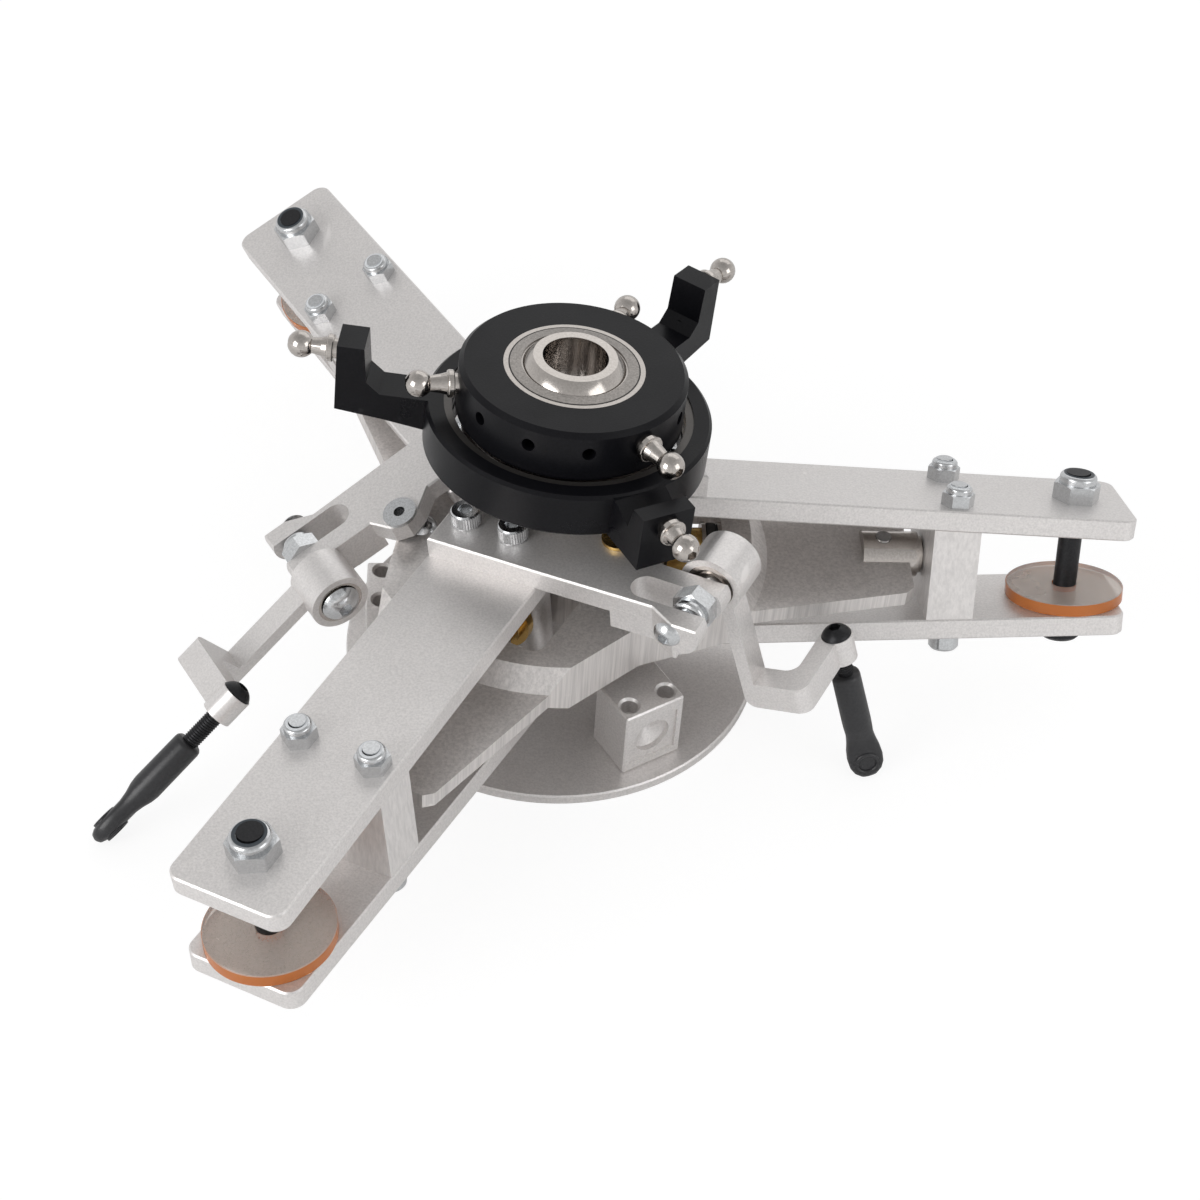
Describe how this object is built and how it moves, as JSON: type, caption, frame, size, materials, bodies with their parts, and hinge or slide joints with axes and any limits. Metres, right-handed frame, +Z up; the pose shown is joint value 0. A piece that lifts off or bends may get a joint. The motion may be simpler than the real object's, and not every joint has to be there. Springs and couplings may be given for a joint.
{
  "type": "helicopter rotor hub",
  "caption": "Rotor hub with pitch-changing plate grips round a mast bore, link levers and a loose swashplate with a ball centre.",
  "frame": {"origin": "centre of the mast bore at the underside of the base disc", "axes": "+Z up the mast; +X along the blade arm seen on the right in the picture"},
  "size_m": [0.1969, 0.2018, 0.0749],
  "materials": {
    "satin_aluminium": "bead blasted satin",
    "brushed_aluminium": "brushed",
    "zinc_steel": "zinc plated",
    "bright_steel": "polished",
    "black_steel": "black oxide",
    "black_rubber": "matte",
    "black_plastic": "moulded",
    "black_anodised": "black anodised aluminium",
    "brass": "turned",
    "amber_plastic": "clear amber"
  },
  "bodies": {
    "hub": {"base_disc": "satin_aluminium", "hub_blocks": "satin_aluminium", "hub_column": "satin_aluminium", "star_plate": "brushed_aluminium", "boss_plates": "brushed_aluminium", "hub_screws": "zinc_steel", "outer_pivots": "bright_steel", "spindles": "bright_steel", "thrust_bearings": "brass", "dampers": "black_rubber"},
    "grip_a": {"grip_top_plate_a": "satin_aluminium", "grip_bottom_plate_a": "satin_aluminium", "spacer_block_a": "satin_aluminium", "inner_block_a": "satin_aluminium", "pitch_horn_a": "satin_aluminium", "blade_bolt_a": "black_steel", "grip_screws_a": "zinc_steel", "grip_nuts_a": "zinc_steel", "blade_washer_a": "amber_plastic", "lever_screw_a": "zinc_steel"},
    "grip_b": {"grip_top_plate_b": "satin_aluminium", "grip_bottom_plate_b": "satin_aluminium", "spacer_block_b": "satin_aluminium", "inner_block_b": "satin_aluminium", "pitch_horn_b": "satin_aluminium", "blade_bolt_b": "black_steel", "grip_screws_b": "zinc_steel", "grip_nuts_b": "zinc_steel", "blade_washer_b": "amber_plastic", "lever_screw_b": "zinc_steel"},
    "grip_c": {"grip_top_plate_c": "satin_aluminium", "grip_bottom_plate_c": "satin_aluminium", "spacer_block_c": "satin_aluminium", "inner_block_c": "satin_aluminium", "pitch_horn_c": "satin_aluminium", "blade_bolt_c": "black_steel", "grip_screws_c": "zinc_steel", "grip_nuts_c": "zinc_steel", "blade_washer_c": "amber_plastic", "lever_screw_c": "zinc_steel"},
    "lever_a": {"link_lever_a": "satin_aluminium", "lever_bearings_a": "bright_steel", "link_rod_a": "black_steel", "ball_link_a": "black_plastic"},
    "lever_b": {"link_lever_b": "satin_aluminium", "lever_bearings_b": "bright_steel", "link_rod_b": "black_steel", "ball_link_b": "black_plastic"},
    "lever_c": {"link_lever_c": "satin_aluminium", "lever_bearings_c": "bright_steel", "link_rod_c": "black_steel", "ball_link_c": "black_plastic"},
    "swash_outer": {"swash_outer_ring": "black_anodised", "swash_bearing_outer": "bright_steel", "outer_ball_studs": "bright_steel"},
    "swash_inner": {"swash_inner_ring": "black_anodised", "swash_bearing_inner": "bright_steel", "swash_race": "bright_steel", "inner_ball_studs": "bright_steel"},
    "swash_ball": {"swash_ball": "bright_steel"}
  },
  "joints": [
    {"name": "feather_a", "type": "hinge", "parent": "hub", "child": "grip_a", "pos_m": [0, 0, 0.028], "axis": [-0.5, -0.866, 0], "range_deg": [-26, 2]},
    {"name": "feather_b", "type": "hinge", "parent": "hub", "child": "grip_b", "pos_m": [0, 0, 0.028], "axis": [1, 0, 0], "range_deg": [0, 23]},
    {"name": "feather_c", "type": "hinge", "parent": "hub", "child": "grip_c", "pos_m": [0, 0, 0.028], "axis": [-0.5, 0.866, 0], "range_deg": [0, 27]},
    {"name": "lever_swing_a", "type": "hinge", "parent": "grip_a", "child": "lever_a", "pos_m": [0.02789, -0.02805, 0.04935], "axis": [-0.5, -0.866, 0], "range_deg": [0, 79]},
    {"name": "lever_swing_b", "type": "hinge", "parent": "grip_b", "child": "lever_b", "pos_m": [0.01035, 0.04372, 0.02923], "axis": [1, 0, 0], "range_deg": [-45, 20]},
    {"name": "lever_swing_c", "type": "hinge", "parent": "grip_c", "child": "lever_c", "pos_m": [-0.04305, -0.0129, 0.02892], "axis": [-0.5, 0.866, 0], "range_deg": [-45, 20]},
    {"name": "swash_slide", "type": "slide", "parent": "hub", "child": "swash_outer", "axis": [0, 0, 1], "range_m": [0, 0.015]},
    {"name": "swash_spin", "type": "hinge", "parent": "swash_outer", "child": "swash_inner", "pos_m": [0.00105, 0.00111, 0.06585], "axis": [0.0576, 0.0614, 0.9965], "continuous": true},
    {"name": "ball_tilt", "type": "hinge", "parent": "swash_inner", "child": "swash_ball", "pos_m": [0.00105, 0.00111, 0.06585], "axis": [0.9983, -0.0035, -0.0575], "range_deg": [-12, 12]}
  ]
}
